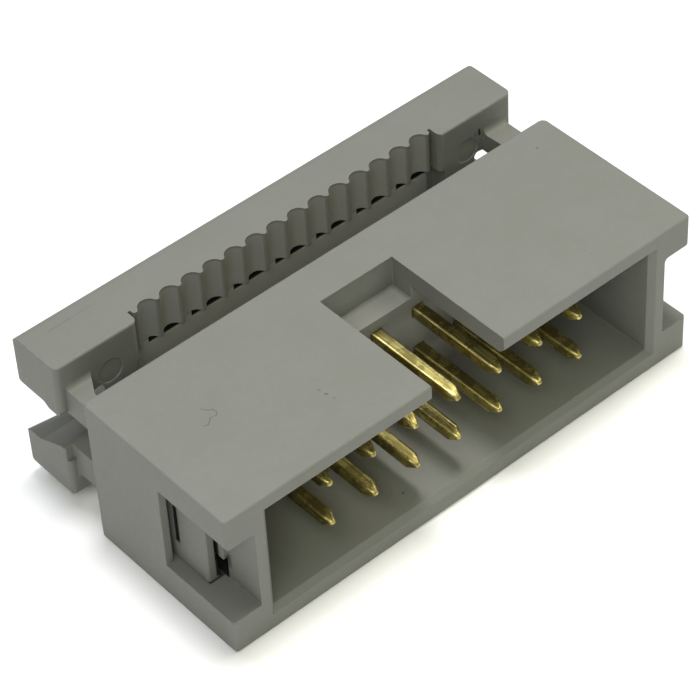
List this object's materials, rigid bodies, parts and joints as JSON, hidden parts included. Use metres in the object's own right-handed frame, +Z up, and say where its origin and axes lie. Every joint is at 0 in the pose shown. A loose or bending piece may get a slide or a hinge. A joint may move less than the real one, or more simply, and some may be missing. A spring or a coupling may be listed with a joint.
{
  "type": "insulation displacement connector",
  "caption": "Boxed plug for flat ribbon cable, with square pins in a keyed shroud and a scalloped cable cover that slides down its end legs to crimp the cable.",
  "frame": {"origin": "bottom centre of the whole plug, on the surface it lies on", "axes": "+X along the pin rows, +Y from the mating face to the cable cover, +Z up from the broad wall it lies on to the keyed wall"},
  "size_m": [0.0282, 0.0152, 0.0089],
  "materials": {
    "grey_plastic": "fine matt moulded surface, light warm grey",
    "gold_plate": "thin gold plate over copper alloy, satin with drawn streaks"
  },
  "bodies": {
    "base": {"housing": "grey_plastic", "contact_01": "gold_plate", "contact_02": "gold_plate", "contact_03": "gold_plate", "contact_04": "gold_plate", "contact_05": "gold_plate", "contact_06": "gold_plate", "contact_07": "gold_plate", "contact_08": "gold_plate", "contact_09": "gold_plate", "contact_10": "gold_plate", "contact_11": "gold_plate", "contact_12": "gold_plate", "contact_13": "gold_plate", "contact_14": "gold_plate"},
    "cover": {"cover": "grey_plastic"}
  },
  "joints": [
    {"name": "cover_slide", "type": "slide", "parent": "base", "child": "cover", "axis": [0, -1, 0], "range_m": [0, 0.00205]}
  ]
}
